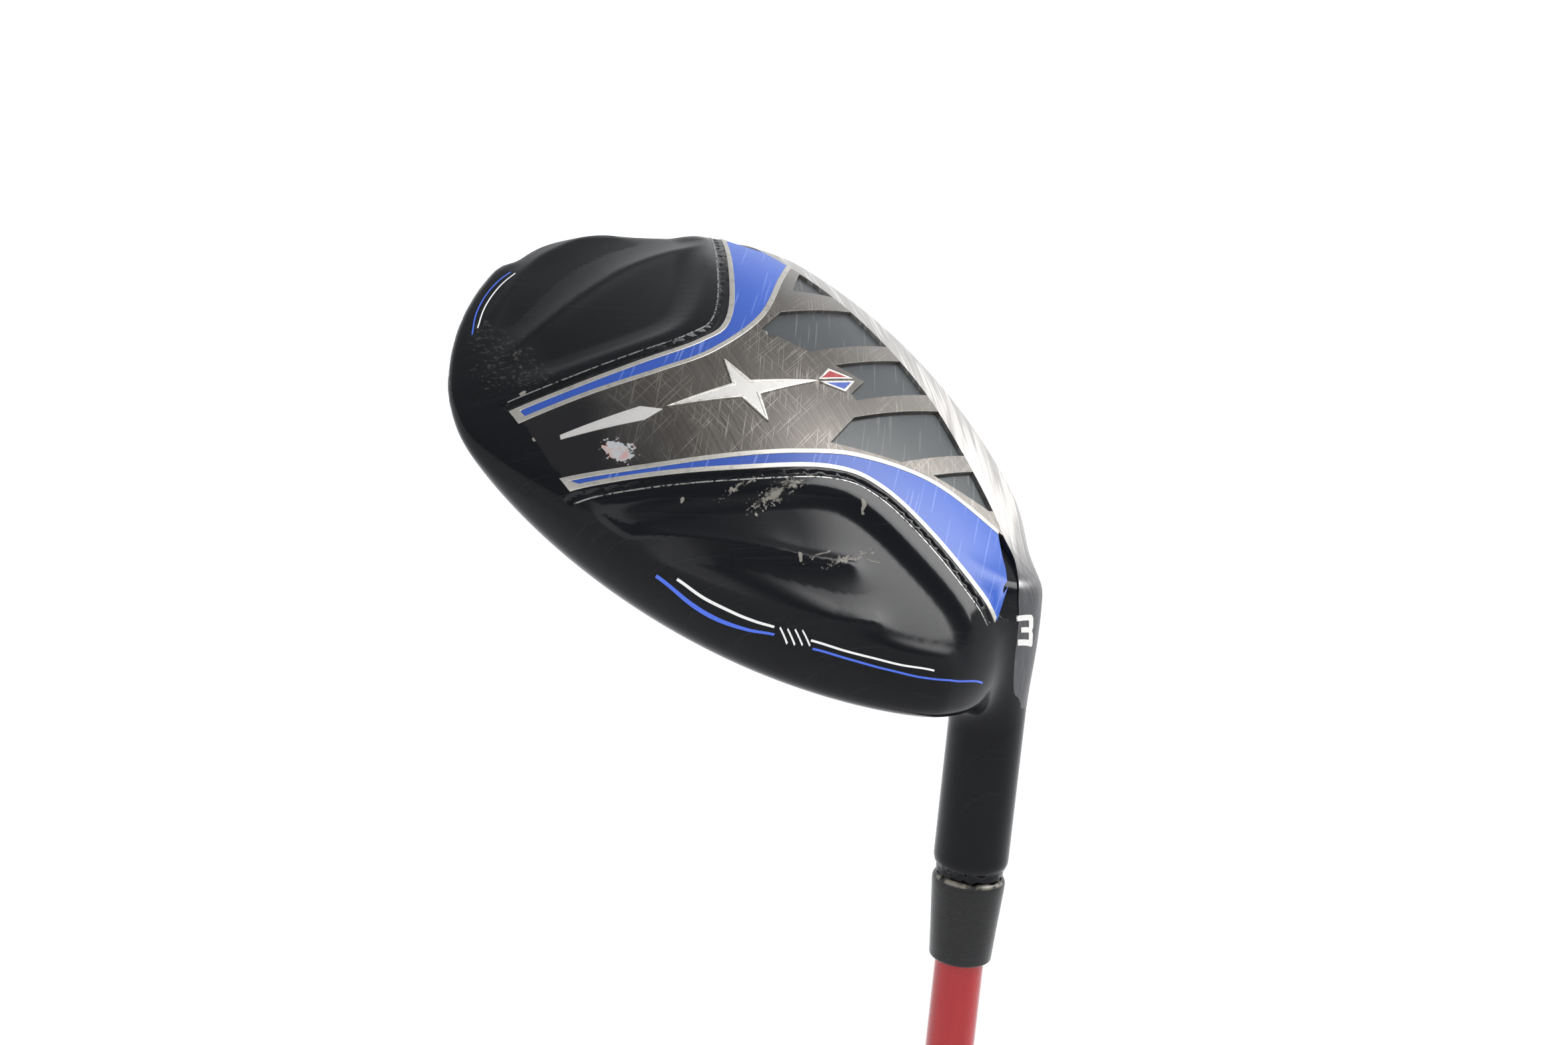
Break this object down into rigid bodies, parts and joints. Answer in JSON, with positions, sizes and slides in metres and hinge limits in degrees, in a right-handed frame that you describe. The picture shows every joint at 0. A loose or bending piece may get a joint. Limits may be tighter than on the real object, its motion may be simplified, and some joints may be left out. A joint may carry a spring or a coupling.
{
  "type": "fairway wood",
  "caption": "Three wood golf club: hollow steel head with an inlaid sole, bonded graphite shaft, ferrule and rubber grip, for long shots from the turf",
  "frame": {"origin": "centre of the butt end of the grip, on the shaft axis", "axes": "+Z runs along the shaft from the butt to the head, +X to the toe side, and the face looks toward -Y"},
  "size_m": [0.1069, 0.0916, 1.134],
  "materials": {
    "black_paint": "gloss black paint over cast steel",
    "brushed_face": "brushed steel",
    "crown_paint": "gloss black paint",
    "raw_weld": "raw weld steel",
    "raw_weight": "raw cast steel",
    "hot_glue": "soft glue",
    "gunmetal": "brushed gunmetal",
    "dark_enamel": "satin dark enamel",
    "blue_enamel": "gloss blue enamel",
    "silver_trim": "fine silver",
    "badge_silver": "silver white enamel",
    "red_enamel": "gloss red enamel",
    "white_print": "white print",
    "blue_print": "blue print",
    "red_shaft": "clear-coated deep red",
    "clear_glue": "cured epoxy",
    "black_plastic": "satin black plastic",
    "paper_tape": "tape",
    "grip_rubber": "matt black rubber",
    "cap_rubber": "hard moulded rubber"
  },
  "bodies": {
    "root": {"head_body": "black_paint", "face_cup": "brushed_face", "crown_plate": "crown_paint", "cup_weld_bead": "raw_weld", "forward_weight": "raw_weight", "glue_pad": "hot_glue", "sole_panel": "gunmetal", "window_enamel_toe": "dark_enamel", "window_enamel_toe_middle": "dark_enamel", "window_enamel_middle": "dark_enamel", "window_enamel_heel_middle": "dark_enamel", "window_enamel_heel": "dark_enamel", "heel_stripe": "blue_enamel", "toe_stripe": "blue_enamel", "heel_stripe_trim": "silver_trim", "toe_stripe_trim": "silver_trim", "star_badge": "badge_silver", "red_accent": "red_enamel", "blue_accent": "blue_enamel", "dart_mark": "badge_silver", "club_number": "white_print", "heel_pinstripe_white": "white_print", "toe_pinstripe_white": "white_print", "heel_pinstripe_blue": "blue_print", "toe_pinstripe_blue": "blue_print", "shaft": "red_shaft", "shaft_tip_plug": "black_plastic", "glue_sleeve": "clear_glue", "ferrule": "black_plastic", "grip_tape": "paper_tape", "grip": "grip_rubber", "grip_cap": "cap_rubber"}
  },
  "joints": []
}
